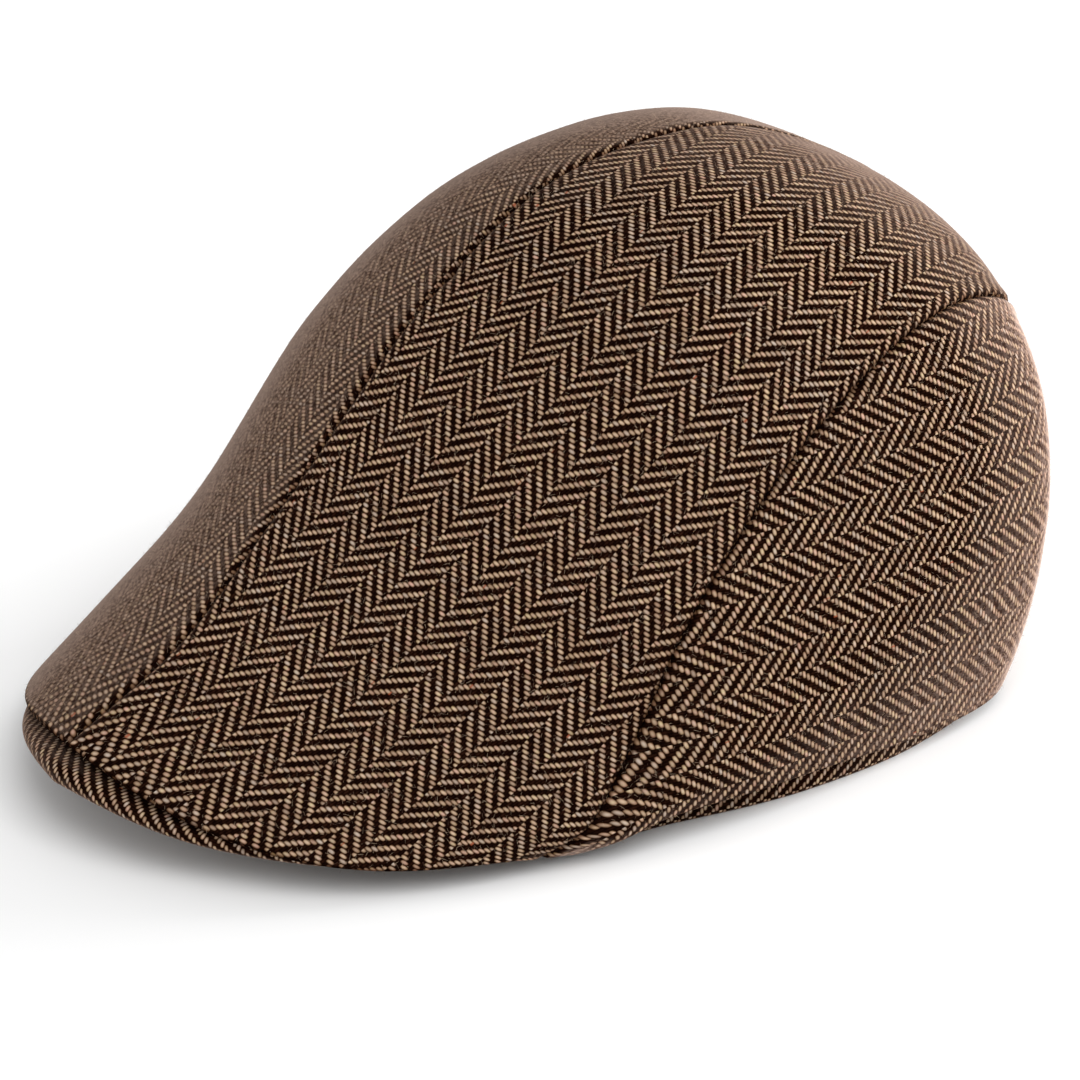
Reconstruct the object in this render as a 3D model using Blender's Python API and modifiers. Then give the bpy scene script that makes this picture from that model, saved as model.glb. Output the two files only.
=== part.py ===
"""Flat cap with a stiff duckbill peak.

Two top panels meet along the middle, two side panels run from the peak's corners round to
the back, and a headband goes round the head opening. Metres, +Z up, the front of the cap
towards -Y, the wearer's left at +X, the floor at Z = 0.
"""
import math

import bmesh
import bpy
from mathutils import Vector

LENGTH = 0.264            # front tip of the crown to the back of its rounding
WIDTH = 0.197             # across the rim
MIDDLE = 0.502            # share of LENGTH that lies over the origin
HEIGHT = 0.141            # floor to the top of the crown
CLOTH = 0.0020            # wool with its backing
GAP = 0.0005              # left open between neighbouring pieces
BAND_THICK = 0.0030       # two folded layers
BAND_TALL = 0.0170
BAND_EDGE = 0.0006        # small flat taken off the band's long edges
PEAK_THICK = 0.0042       # board and cloth at the head opening
PEAK_SPREAD = 0.955       # share of the front edge that the peak runs along
PEAK_TURN = 1.92          # band rows from the middle to the peak's corner
PEAK_CAMBER = 0.0020      # lift of the peak between its lip and the head opening
PEAK_ROOT_GAP = 0.0012    # left between the peak and the headband
BACK_END = 0.82           # station where the top panels end behind
BACK_BEND = 0.05          # how far that end's corners are drawn forward

ROWS_AHEAD = 28
ROWS_BEHIND = 7
TOP_COLUMNS = 9
SIDE_COLUMNS = 10
HEM = 0.012               # narrow strip of faces along every edge, as a share of the panel
SEAM_HEM = 0.0006         # width of that strip along the side seams
BAND_STEPS = 72
PEAK_STEPS = 40
PEAK_DEPTH_STEPS = 6
NOSE_STEPS = 7

# The crown is an arch at every row: it stands on the rim at both sides and passes over the
# middle line. y, z, x and sag are shares of LENGTH, HEIGHT, WIDTH and HEIGHT. arc is how far
# the arch turns in degrees (past 90 it tucks in under itself), square how boxy it is, sag how
# far it hangs half way to the rim, and seam the share of the half arch in the top panel.
SECTION_COLUMNS = ("rim_y", "rim_z", "rim_x", "top_y", "top_z", "arc", "square", "sag", "seam")
SECTIONS = (
    ("peak_edge", 0.370, 0.012, 0.870, 0.024, 0.178, 91, 2.00, 0.050, 0.93),
    ("peak_mid", 0.405, 0.040, 0.940, 0.155, 0.309, 94, 1.68, 0.000, 0.86),
    ("brow", 0.460, 0.060, 0.960, 0.275, 0.519, 96, 1.64, 0.000, 0.77),
    ("front", 0.545, 0.063, 0.985, 0.425, 0.795, 98, 1.85, 0.000, 0.67),
    ("crown", 0.640, 0.056, 0.982, 0.575, 0.969, 101, 1.90, 0.000, 0.58),
    ("top", 0.740, 0.036, 0.960, 0.750, 1.000, 105, 2.00, 0.000, 0.48),
    ("back_top", 0.835, 0.026, 0.916, 0.895, 0.906, 107, 2.26, 0.000, 0.39),
    ("back", 0.890, 0.028, 0.850, 1.000, 0.740, 106, 2.32, 0.000, 0.32),
    ("back_low", 0.914, 0.040, 0.750, 1.005, 0.455, 97, 2.16, 0.000, 0.23),
    ("nape", 0.926, 0.052, 0.640, 0.988, 0.079, 45, 2.00, 0.000, 0.10),
)
SAG_POWER = 1.8           # how narrow the sag is between the middle line and the rim

# Outer face of the headband in plan, from the forehead to the nape, and the height of its
# lower edge: shares of WIDTH / 2, LENGTH and HEIGHT.
BAND_COLUMNS = ("x", "y", "lift")
BAND_OUTLINE = (
    ("forehead", 0.000, 0.250, 0.100),
    ("forehead_side", 0.450, 0.275, 0.080),
    ("temple", 0.785, 0.365, 0.006),
    ("side_front", 0.875, 0.490, 0.000),
    ("side", 0.936, 0.620, 0.000),
    ("side_back", 0.919, 0.766, 0.000),
    ("back_corner", 0.784, 0.884, 0.000),
    ("nape_side", 0.412, 0.951, 0.000),
    ("nape", 0.000, 0.974, 0.000),
)

# The peak's rolled lip: along the front edge from the middle to the corner, its radius and
# how far it reaches past the edge of the crown's cloth, in millimetres.
LIP_COLUMNS = ("radius", "reach")
LIP = (
    ("middle", 3.3, 4.8),
    ("quarter", 2.4, 2.4),
    ("half", 2.0, -1.6),
    ("three_quarter", 1.9, -2.4),
    ("corner", 1.8, -2.2),
)


def smooth_value(before, start, end, after, share):
    """Catmull-Rom between start and end."""
    a = 2.0 * start
    b = end - before
    c = 2.0 * before - 5.0 * start + 4.0 * end - after
    d = 3.0 * start - before - 3.0 * end + after
    return 0.5 * (a + b * share + c * share ** 2 + d * share ** 3)


def table_value(rows, column, place):
    """A column of an open table at place, from 0 on its first row to 1 on its last."""
    values = [row[column + 1] for row in rows]
    last = len(values) - 1
    spot = min(max(place, 0.0), 1.0) * last
    index = min(int(spot), last - 1)
    before = values[index - 1] if index > 0 else 2.0 * values[0] - values[1]
    after = values[index + 2] if index + 2 <= last else 2.0 * values[last] - values[last - 1]
    return smooth_value(before, values[index], values[index + 1], after, spot - index)


def section_value(name, station):
    return table_value(SECTIONS, SECTION_COLUMNS.index(name), station)


def seam_share(station):
    return section_value("seam", station)


def shell_point(station, share):
    """Outer face of the crown: share is 0 on the middle line and 1 on the left rim."""
    arc = math.radians(section_value("arc", station))
    power = 2.0 / section_value("square", station)
    angle = abs(share) * arc
    across = math.sin(angle) ** power / math.sin(arc) ** power
    rise = math.copysign(abs(math.cos(angle)) ** power, math.cos(angle))
    rise_end = math.copysign(abs(math.cos(arc)) ** power, math.cos(arc))
    height = (rise - rise_end) / (1.0 - rise_end)
    rim_y = (section_value("rim_y", station) - MIDDLE) * LENGTH
    rim_z = section_value("rim_z", station) * HEIGHT
    top_y = (section_value("top_y", station) - MIDDLE) * LENGTH
    top_z = section_value("top_z", station) * HEIGHT
    x = math.copysign(across, share) * section_value("rim_x", station) * WIDTH / 2.0
    hang = max(math.sin(math.pi * min(abs(share), 1.0)), 0.0) ** SAG_POWER
    sag = section_value("sag", station) * HEIGHT * hang
    return Vector((x, rim_y + (top_y - rim_y) * height, rim_z + (top_z - rim_z) * height - sag))


def back_rounding(row, column):
    """How far the row's line runs forward of its station, to round the top panels' end."""
    if row <= BACK_END:
        swell = (row / BACK_END) ** 4
    else:
        swell = ((1.0 - row) / (1.0 - BACK_END)) ** 1.5
    if column <= 1.0:
        reach = 1.0 - math.sqrt(max(1.0 - column ** 2.4, 0.0))
    else:
        reach = (2.0 - column) ** 1.5
    return BACK_BEND * swell * reach


def grid_point(row, column):
    """Left half of the crown: column 0 is the middle line, 1 the side seam and 2 the rim."""
    station = row - back_rounding(row, column)
    seam = seam_share(station)
    if column <= 1.0:
        share = seam * column
    else:
        share = seam + (1.0 - seam) * (column - 1.0)
    return shell_point(station, share)


def seam_column(row, towards, distance):
    """The column at a distance from the side seam, on the side that towards names."""
    step = 0.02 * towards
    length = (grid_point(row, 1.0 + step) - grid_point(row, 1.0)).length
    return 1.0 + step * distance / length


def end_row(column, towards):
    step = 0.01 * towards
    length = (grid_point(BACK_END + step, column) - grid_point(BACK_END, column)).length
    return BACK_END + step * (GAP / 2.0) / length


def placed(point, side):
    """The point on the left or right half, moved half a gap off the middle line."""
    return Vector((side * (point.x + GAP / 2.0), point.y, point.z))


def hemmed(count):
    """Even shares from 0 to 1, with a narrow strip at both ends."""
    return [0.0, HEM] + [i / count for i in range(1, count)] + [1.0 - HEM, 1.0]


def top_grid(side):
    """Vertices and faces of one top panel's outer face."""
    rows = [BACK_END * share for share in hemmed(ROWS_AHEAD)]
    columns = hemmed(TOP_COLUMNS)
    points = []
    for row in rows:
        for column in columns:
            at_row = end_row(column, -1) if row == rows[-1] else row
            at_column = column
            if column == 1.0:
                at_column = seam_column(at_row, -1, GAP / 2.0)
            elif column == 1.0 - HEM:
                at_column = seam_column(at_row, -1, GAP / 2.0 + SEAM_HEM)
            points.append(placed(grid_point(at_row, at_column), side))
    faces = []
    wide = len(columns)
    for i in range(len(rows) - 1):
        for j in range(wide - 1):
            a = i * wide + j
            faces.append((a, a + 1, a + wide + 1, a + wide))
    return points, faces


def side_grid(side):
    """Vertices and faces of one side panel, with the part behind the top panels."""
    ahead = [BACK_END * share for share in hemmed(ROWS_AHEAD)]
    behind = [BACK_END + (1.0 - BACK_END) * share for share in hemmed(ROWS_BEHIND)]
    rows = ahead + behind[1:]
    end = len(ahead) - 1
    inner = hemmed(TOP_COLUMNS)
    columns = inner + [1.0 + share for share in hemmed(SIDE_COLUMNS)[1:]]
    seam = len(inner) - 1
    number = {}
    points = []
    for i, row in enumerate(rows):
        for j in range(seam if i < end else 0, len(columns)):
            column = columns[j]
            at_row = end_row(column, 1) if i == end and j < seam else row
            at_column = column
            if j == seam and i <= end:
                at_column = seam_column(row, 1, GAP / 2.0)
            elif j == seam + 1 and i <= end:
                at_column = seam_column(row, 1, GAP / 2.0 + SEAM_HEM)
            number[i, j] = len(points)
            points.append(placed(grid_point(at_row, at_column), side))
    faces = []
    for i in range(len(rows) - 1):
        for j in range(seam if i < end else 0, len(columns) - 1):
            faces.append((number[i, j], number[i, j + 1], number[i + 1, j + 1], number[i + 1, j]))
    return points, faces


def band_value(name, turn):
    """A column of the headband's table at turn rows from the forehead, mirrored behind."""
    column = BAND_COLUMNS.index(name) + 1
    half = len(BAND_OUTLINE) - 1

    def at(index):
        index = index % (2 * half)
        if index > half:
            value = BAND_OUTLINE[2 * half - index][column]
            return -value if name == "x" else value
        return BAND_OUTLINE[index][column]

    low = math.floor(turn)
    return smooth_value(at(low - 1), at(low), at(low + 1), at(low + 2), turn - low)


def band_point(turn, outset):
    """Lower edge of the headband's outer face, moved outset metres out from it."""
    def plan(place):
        x = band_value("x", place) * WIDTH / 2.0
        y = (band_value("y", place) - MIDDLE) * LENGTH
        return Vector((x, y, 0.0))

    along = (plan(turn + 0.01) - plan(turn - 0.01)).normalized()
    out = Vector((along.y, -along.x, 0.0))
    lift = Vector((0.0, 0.0, max(band_value("lift", turn), 0.0) * HEIGHT))
    return plan(turn) + out * outset + lift


def lip_value(name, share):
    return table_value(LIP, LIP_COLUMNS.index(name), abs(share)) / 1000.0


def edge_frame(share):
    """Point on the crown's front edge, its outward normal and the way on past the edge."""
    point = shell_point(0.0, share)
    around = shell_point(0.0, share + 0.004) - shell_point(0.0, share - 0.004)
    back = shell_point(0.01, share) - point
    normal = around.cross(back).normalized()
    onward = around.cross(normal).normalized()
    return point, normal, onward


def peak_section(share):
    """Closed section of the peak: from the head opening below, round the lip, back above."""
    point, normal, onward = edge_frame(share * PEAK_SPREAD)
    radius = lip_value("radius", share)
    centre = point - normal * (CLOTH + GAP + radius) + onward * lip_value("reach", share)
    root = band_point(share * PEAK_TURN, PEAK_ROOT_GAP) + Vector((0.0, 0.0, 0.0012 + PEAK_THICK / 2.0))
    run = root - centre
    inward = run.normalized()
    upward = (Vector((0.0, 0.0, 1.0)) - inward * inward.z).normalized()
    lower = []
    upper = []
    for step in range(PEAK_DEPTH_STEPS, 0, -1):
        along = step / PEAK_DEPTH_STEPS
        half = radius + (PEAK_THICK / 2.0 - radius) * along
        middle = centre + run * along + upward * PEAK_CAMBER * math.sin(math.pi * along)
        lower.append(middle - upward * half)
        upper.append(middle + upward * half)
    nose = []
    for step in range(NOSE_STEPS + 1):
        angle = math.pi * step / NOSE_STEPS
        nose.append(centre - inward * math.sin(angle) * radius - upward * math.cos(angle) * radius)
    return lower + nose + upper[::-1]


def loft(sections, closed):
    """Skin of equal sections; an open run of them gets an end face at both ends."""
    count = len(sections[0])
    points = [point for section in sections for point in section]
    faces = []
    for i in range(len(sections) if closed else len(sections) - 1):
        start = i * count
        following = (i + 1) % len(sections) * count
        for j in range(count):
            k = (j + 1) % count
            faces.append((start + j, start + k, following + k, following + j))
    if not closed:
        last = (len(sections) - 1) * count
        for j in range(count // 2 - 1):
            k = count - 1 - j
            faces.append((j, k, k - 1, j + 1))
            faces.append((last + j, last + j + 1, last + k - 1, last + k))
    return points, faces


def peak_mesh():
    sections = [peak_section(2.0 * i / PEAK_STEPS - 1.0) for i in range(PEAK_STEPS + 1)]
    return loft(sections, False)


def band_mesh():
    turns = 2.0 * (len(BAND_OUTLINE) - 1)
    sections = []
    for i in range(BAND_STEPS):
        turn = turns * i / BAND_STEPS
        section = []
        for outset, height in (
            (-BAND_EDGE, 0.0),
            (0.0, BAND_EDGE),
            (0.0, BAND_TALL - BAND_EDGE),
            (-BAND_EDGE, BAND_TALL),
            (BAND_EDGE - BAND_THICK, BAND_TALL),
            (-BAND_THICK, BAND_TALL - BAND_EDGE),
            (-BAND_THICK, BAND_EDGE),
            (BAND_EDGE - BAND_THICK, 0.0),
        ):
            section.append(band_point(turn, outset) + Vector((0.0, 0.0, height)))
        sections.append(section)
    return loft(sections, True)


def cloth_material(name, colour, roughness):
    material = bpy.data.materials.new(name)
    material.use_nodes = True
    shader = material.node_tree.nodes["Principled BSDF"]
    shader.inputs["Base Color"].default_value = (*colour, 1.0)
    shader.inputs["Roughness"].default_value = roughness
    material.diffuse_color = (*colour, 1.0)
    return material


def add_piece(collection, name, points, faces, material, thickness=0.0):
    """A named piece; a thickness turns an open face into cloth, grown inwards."""
    mesh = bpy.data.meshes.new(name)
    work = bmesh.new()
    vertices = [work.verts.new(point) for point in points]
    for face in faces:
        work.faces.new([vertices[index] for index in face])
    work.normal_update()
    if thickness == 0.0:
        bmesh.ops.recalc_face_normals(work, faces=work.faces)
    elif sum(face.normal.dot(face.calc_center_median()) for face in work.faces) < 0.0:
        bmesh.ops.reverse_faces(work, faces=work.faces)
    for face in work.faces:
        face.smooth = True
    work.to_mesh(mesh)
    work.free()
    mesh.materials.append(material)
    piece = bpy.data.objects.new(name, mesh)
    collection.objects.link(piece)
    if thickness:
        shell = piece.modifiers.new("cloth", "SOLIDIFY")
        shell.thickness = thickness
        shell.offset = -1.0
        shell.use_even_offset = False
    return piece


def main():
    for old in list(bpy.data.objects):
        bpy.data.objects.remove(old, do_unlink=True)
    collection = bpy.data.collections.new("hunting_cap")
    bpy.context.scene.collection.children.link(collection)
    for side, word in ((1.0, "left"), (-1.0, "right")):
        top_cloth = cloth_material("top_panel_" + word, (0.27, 0.21, 0.17), 0.95)
        side_cloth = cloth_material("side_panel_" + word, (0.25, 0.19, 0.15), 0.95)
        add_piece(collection, "top_panel_" + word, *top_grid(side), top_cloth, CLOTH)
        add_piece(collection, "side_panel_" + word, *side_grid(side), side_cloth, CLOTH)
    peak_cloth = cloth_material("peak", (0.26, 0.20, 0.16), 0.95)
    band_cloth = cloth_material("headband", (0.18, 0.13, 0.10), 0.95)
    add_piece(collection, "peak", *peak_mesh(), peak_cloth)
    add_piece(collection, "headband", *band_mesh(), band_cloth)


main()
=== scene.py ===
"""Looks of the hunting cap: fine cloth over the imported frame, with materials, floor, light and camera."""
import math

import bpy
import numpy as np
from mathutils import Matrix, Vector, noise


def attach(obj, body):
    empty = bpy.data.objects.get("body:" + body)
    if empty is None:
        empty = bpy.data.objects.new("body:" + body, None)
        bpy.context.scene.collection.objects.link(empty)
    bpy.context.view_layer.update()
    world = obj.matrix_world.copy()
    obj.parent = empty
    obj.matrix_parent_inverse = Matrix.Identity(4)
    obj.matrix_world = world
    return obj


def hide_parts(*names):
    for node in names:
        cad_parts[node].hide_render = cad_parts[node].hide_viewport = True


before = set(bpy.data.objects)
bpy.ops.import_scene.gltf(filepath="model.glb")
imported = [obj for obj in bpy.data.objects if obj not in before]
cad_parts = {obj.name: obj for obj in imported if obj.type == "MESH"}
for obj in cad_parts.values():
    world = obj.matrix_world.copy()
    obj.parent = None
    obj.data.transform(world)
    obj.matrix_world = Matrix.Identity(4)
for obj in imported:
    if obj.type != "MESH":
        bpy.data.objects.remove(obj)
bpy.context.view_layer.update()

# Camera
CAMERA_AT = (0.89723, -0.61056, 0.58426)
CAMERA_AZIMUTH = 55.07
CAMERA_ELEVATION = 26.5186
CAMERA_ROLL = -0.777
CAMERA_LENS = 157.4


def add_camera():
    a, e, r = (math.radians(v) for v in (CAMERA_AZIMUTH, CAMERA_ELEVATION, CAMERA_ROLL))
    back = Vector((math.sin(a) * math.cos(e), -math.cos(a) * math.cos(e), math.sin(e)))
    right = Vector((0.0, 0.0, 1.0)).cross(back).normalized()
    up = back.cross(right)
    data = bpy.data.cameras.new("camera")
    data.lens = CAMERA_LENS
    data.sensor_width = 36.0
    data.clip_start = 0.05
    data.clip_end = 30.0
    camera = bpy.data.objects.new("camera", data)
    bpy.context.scene.collection.objects.link(camera)
    x = right * math.cos(r) + up * math.sin(r)
    y = up * math.cos(r) - right * math.sin(r)
    turn = Matrix((x, y, back)).transposed().to_4x4()
    camera.matrix_world = Matrix.Translation(CAMERA_AT) @ turn
    bpy.context.scene.camera = camera


add_camera()

# The cap's shape, as in the CAD source
LENGTH = 0.264
WIDTH = 0.197
MIDDLE = 0.502
HEIGHT = 0.141
CLOTH = 0.0020
GAP = 0.0005
BAND_THICK = 0.0030
BAND_TALL = 0.0170
PEAK_THICK = 0.0042
PEAK_SPREAD = 0.955
PEAK_TURN = 1.92
PEAK_CAMBER = 0.0020
PEAK_ROOT_GAP = 0.0012
PEAK_LIFT = 0.0012
BACK_END = 0.82
BACK_BEND = 0.05
SECTION_COLUMNS = ("rim_y", "rim_z", "rim_x", "top_y", "top_z", "arc", "square", "sag", "seam")
SECTIONS = (
    (0.370, 0.012, 0.870, 0.024, 0.178, 91, 2.00, 0.050, 0.93),
    (0.405, 0.040, 0.940, 0.155, 0.309, 94, 1.68, 0.000, 0.86),
    (0.460, 0.060, 0.960, 0.275, 0.519, 96, 1.64, 0.000, 0.77),
    (0.545, 0.063, 0.985, 0.425, 0.795, 98, 1.85, 0.000, 0.67),
    (0.640, 0.056, 0.982, 0.575, 0.969, 101, 1.90, 0.000, 0.58),
    (0.740, 0.036, 0.960, 0.750, 1.000, 105, 2.00, 0.000, 0.48),
    (0.835, 0.026, 0.916, 0.895, 0.906, 107, 2.26, 0.000, 0.39),
    (0.890, 0.028, 0.850, 1.000, 0.740, 106, 2.32, 0.000, 0.32),
    (0.914, 0.040, 0.750, 1.005, 0.455, 97, 2.16, 0.000, 0.23),
    (0.926, 0.052, 0.640, 0.988, 0.079, 45, 2.00, 0.000, 0.10),
)
SAG_POWER = 1.8
# Half of the headband's outline, from the middle of its front to the middle of its back: x, y, lift.
BAND_OUTLINE = (
    (0.000, 0.250, 0.100),
    (0.450, 0.275, 0.080),
    (0.785, 0.365, 0.006),
    (0.875, 0.490, 0.000),
    (0.936, 0.620, 0.000),
    (0.919, 0.766, 0.000),
    (0.784, 0.884, 0.000),
    (0.412, 0.951, 0.000),
    (0.000, 0.974, 0.000),
)
# The peak's lip, from its middle to its corner: radius and reach in mm.
LIP = ((3.3, 4.8), (2.4, 2.4), (2.0, -1.6), (1.9, -2.4), (1.8, -2.2))
MM = 0.001
# Points inside the crown, the headband and the peak, from which the outer side of a face is told.
INSIDE_CROWN = np.array([0.0, 0.01, 0.03])
INSIDE_BAND = np.array([0.0, 0.03, 0.0])
INSIDE_PEAK = np.array([0.0, -0.05, 0.02])


def smooth(before, start, end, after, share):
    """Catmull-Rom between start and end."""
    slope = (end - before) * share
    bow = (2 * before - 5 * start + 4 * end - after) * share ** 2
    twist = (3 * start - before - 3 * end + after) * share ** 3
    return 0.5 * (2 * start + slope + bow + twist)


def from_table(values, place):
    """An evenly spaced open table at place, 0 on its first row and 1 on its last."""
    v = np.asarray(values, float)
    last = len(v) - 1
    spot = np.clip(np.asarray(place, float), 0.0, 1.0) * last
    i = np.clip(spot.astype(int), 0, last - 1)
    w = np.concatenate([[2 * v[0] - v[1]], v, [2 * v[-1] - v[-2]]])
    return smooth(w[i], w[i + 1], w[i + 2], w[i + 3], spot - i)


def section_value(name, station):
    k = SECTION_COLUMNS.index(name)
    return from_table([row[k] for row in SECTIONS], station)


def power_of(value, power):
    """The power of a value's size, with its sign."""
    return np.sign(value) * np.abs(value) ** power


def shell_point(station, share):
    """Outer face of the crown: share is 0 on the middle line and 1 on the rim."""
    station, share = np.broadcast_arrays(np.asarray(station, float), np.asarray(share, float))
    arc = np.radians(section_value("arc", station))
    power = 2.0 / section_value("square", station)
    angle = np.abs(share) * arc
    across = np.abs(np.sin(angle)) ** power / np.sin(arc) ** power
    rise, rise_end = power_of(np.cos(angle), power), power_of(np.cos(arc), power)
    height = (rise - rise_end) / (1.0 - rise_end)
    rim_y = (section_value("rim_y", station) - MIDDLE) * LENGTH
    rim_z = section_value("rim_z", station) * HEIGHT
    top_y = (section_value("top_y", station) - MIDDLE) * LENGTH
    top_z = section_value("top_z", station) * HEIGHT
    x = np.sign(share) * across * section_value("rim_x", station) * WIDTH / 2.0
    hang = np.clip(np.sin(np.pi * np.minimum(np.abs(share), 1.0)), 0.0, 1.0) ** SAG_POWER
    sag = section_value("sag", station) * HEIGHT * hang
    return np.stack([x, rim_y + (top_y - rim_y) * height, rim_z + (top_z - rim_z) * height - sag], -1)


def grid_point(row, column):
    """Left half of the crown: column 0 is the middle line, 1 the side seam and 2 the rim."""
    row, column = np.broadcast_arrays(np.asarray(row, float), np.asarray(column, float))
    behind = np.clip((1.0 - row) / (1.0 - BACK_END), 0.0, 1.0) ** 1.5
    swell = np.where(row <= BACK_END, (row / BACK_END) ** 4, behind)
    round_in = 1.0 - np.sqrt(np.clip(1.0 - np.abs(column) ** 2.4, 0.0, 1.0))
    reach = np.where(column <= 1.0, round_in, np.clip(2.0 - column, 0.0, 1.0) ** 1.5)
    station = row - BACK_BEND * swell * reach
    seam = section_value("seam", station)
    share = np.where(column <= 1.0, seam * column, seam + (1.0 - seam) * (column - 1.0))
    return shell_point(station, share)


# Flat patterns: where each yarn runs
FLATTEN_ROUNDS = 60


def flatten(points, faces, start):
    """As-rigid-as-possible flattening of a small lattice: flat positions in metres."""
    corner = points[faces]
    e1, e2 = corner[:, 1] - corner[:, 0], corner[:, 2] - corner[:, 0]
    long = np.linalg.norm(e1, axis=1)
    local = np.zeros((len(faces), 3, 2))
    local[:, 1, 0] = long
    local[:, 2, 0] = (e1 * e2).sum(1) / long
    local[:, 2, 1] = np.linalg.norm(np.cross(e1, e2), axis=1) / long
    n = len(points)
    system = np.zeros((n, n))
    weights = []
    for k in range(3):
        a, b, c = local[:, k], local[:, (k + 1) % 3], local[:, (k + 2) % 3]
        u, v = a - c, b - c
        w = np.clip((u * v).sum(1) / np.abs(u[:, 0] * v[:, 1] - u[:, 1] * v[:, 0]), 0.05, 20.0)
        weights.append(w)
        i, j = faces[:, k], faces[:, (k + 1) % 3]
        np.add.at(system, (i, i), w)
        np.add.at(system, (j, j), w)
        np.add.at(system, (i, j), -w)
        np.add.at(system, (j, i), -w)
    system[0, :] = 0.0
    system[0, 0] = 1.0
    inverse = np.linalg.inv(system)
    flat = start.copy()
    for _ in range(FLATTEN_ROUNDS):
        q = flat[faces]
        fit = np.zeros((len(faces), 2, 2))
        for k in range(3):
            to_local = local[:, k] - local[:, (k + 1) % 3]
            to_flat = q[:, k] - q[:, (k + 1) % 3]
            fit += weights[k][:, None, None] * to_flat[:, :, None] * to_local[:, None, :]
        u, _, vt = np.linalg.svd(fit)
        u[np.linalg.det(u @ vt) < 0, :, 1] *= -1
        turn = u @ vt
        pull = np.zeros((n, 2))
        for k in range(3):
            to_local = local[:, k] - local[:, (k + 1) % 3]
            g = weights[k][:, None] * np.einsum("nij,nj->ni", turn, to_local)
            np.add.at(pull, faces[:, k], g)
            np.add.at(pull, faces[:, (k + 1) % 3], -g)
        pull[0] = start[0]
        flat = inverse @ pull
    return flat


class Pattern:
    """Flat pattern of a panel, laid on a coarse lattice of its rows and columns."""

    def __init__(self, rows, columns, holds, guess):
        self.rows, self.columns = np.array(rows), np.array(columns)
        number = -np.ones((len(rows), len(columns)), int)
        where = []
        for i, row in enumerate(rows):
            for j, column in enumerate(columns):
                if holds(row, column):
                    number[i, j] = len(where)
                    where.append((row, column))
        where = np.array(where)
        faces = []
        for i in range(len(rows) - 1):
            for j in range(len(columns) - 1):
                a, b, c, d = number[i, j], number[i, j + 1], number[i + 1, j + 1], number[i + 1, j]
                if min(a, b, c, d) >= 0:
                    faces += [(a, b, c), (a, c, d)]
        points = grid_point(where[:, 0], where[:, 1])
        flat = flatten(points, np.array(faces), where[:, ::-1] * np.array(guess))
        self.flat = np.full(number.shape + (2,), np.nan)
        self.flat[number >= 0] = flat[number[number >= 0]]

    def at(self, row, column):
        """Smoothly interpolated flat position; rows and columns are arrays of one shape."""
        row, column = np.broadcast_arrays(row, column)
        fi = np.interp(row, self.rows, np.arange(len(self.rows)))
        fj = np.interp(column, self.columns, np.arange(len(self.columns)))
        i = np.clip(fi.astype(int), 0, len(self.rows) - 2)
        j = np.clip(fj.astype(int), 0, len(self.columns) - 2)
        a, b, c, d = (self._along(i + step, j, fj - j) for step in (-1, 0, 1, 2))
        t = (fi - i)[..., None]
        a = np.where(np.isnan(a), 2 * b - c, a)
        d = np.where(np.isnan(d), 2 * c - b, d)
        return smooth(a, b, c, d, t)

    def _along(self, i, j, t):
        """Flat position on lattice row i, a share t past its column j."""
        ok = (i >= 0) & (i < len(self.rows))
        row = self.flat[np.clip(i, 0, len(self.rows) - 1)[..., None],
                        np.clip(j[..., None] + np.array([-1, 0, 1, 2]), 0, len(self.columns) - 1)]
        a, b, c, d = (row[..., k, :] for k in range(4))
        a = np.where(((j - 1) < 0)[..., None] | np.isnan(a), 2 * b - c, a)
        d = np.where(((j + 2) > len(self.columns) - 1)[..., None] | np.isnan(d), 2 * c - b, d)
        value = smooth(a, b, c, d, t[..., None])
        return np.where(ok[..., None], value, np.nan)


AHEAD_ROWS = np.linspace(0, BACK_END, 29)
BEHIND_ROWS = np.linspace(BACK_END, 1, 7)[1:]
UPPER_COLUMNS = np.linspace(0, 1, 8)
LOWER_COLUMNS = np.linspace(1, 2, 12)[1:]
TOP_PATTERN = Pattern(AHEAD_ROWS, np.linspace(0, 1, 12), lambda row, column: True, (0.06, 0.30))
SIDE_PATTERN = Pattern(
    np.concatenate([AHEAD_ROWS, BEHIND_ROWS]),
    np.concatenate([UPPER_COLUMNS, LOWER_COLUMNS]),
    lambda row, column: row > BACK_END - 1e-9 or column > 1 - 1e-9,
    (0.10, 0.22),
)

# Fine panels: the distance between lines, and where the finer ones beside seams and edges lie
STEP = 1.6 * MM
NEAR = np.array([0.0, 0.25, 0.5, 0.8, 1.15, 1.6, 2.2, 3.0, 4.0]) * MM


def spaced(total):
    """Distances from 0 to total, finer at both ends."""
    count = max(int((total - 2 * NEAR[-1]) / STEP), 2)
    inner = np.linspace(NEAR[-1], total - NEAR[-1], count + 1)
    return np.concatenate([NEAR[:-1], inner, (total - NEAR[:-1])[::-1]])


def spread(row, start, end, usual):
    """Columns of one row, from start to end, as many as a row of the usual length needs."""
    fine = np.linspace(start, end, 121)
    p = grid_point(row, fine)
    run = np.concatenate([[0.0], np.cumsum(np.linalg.norm(np.diff(p, axis=0), axis=1))])
    base = spaced(usual) / usual
    near = NEAR / run[-1]
    lead = len(NEAR) - 1
    share = near[-1] + (base - base[lead]) / (base[-1 - lead] - base[lead]) * (1.0 - 2.0 * near[-1])
    share[:lead] = near[:-1]
    share[-lead:] = 1.0 - near[:-1][::-1]
    return np.interp(share * run[-1], run, fine)


def row_list(start, end, length):
    return start + (end - start) * spaced(length) / length


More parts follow.
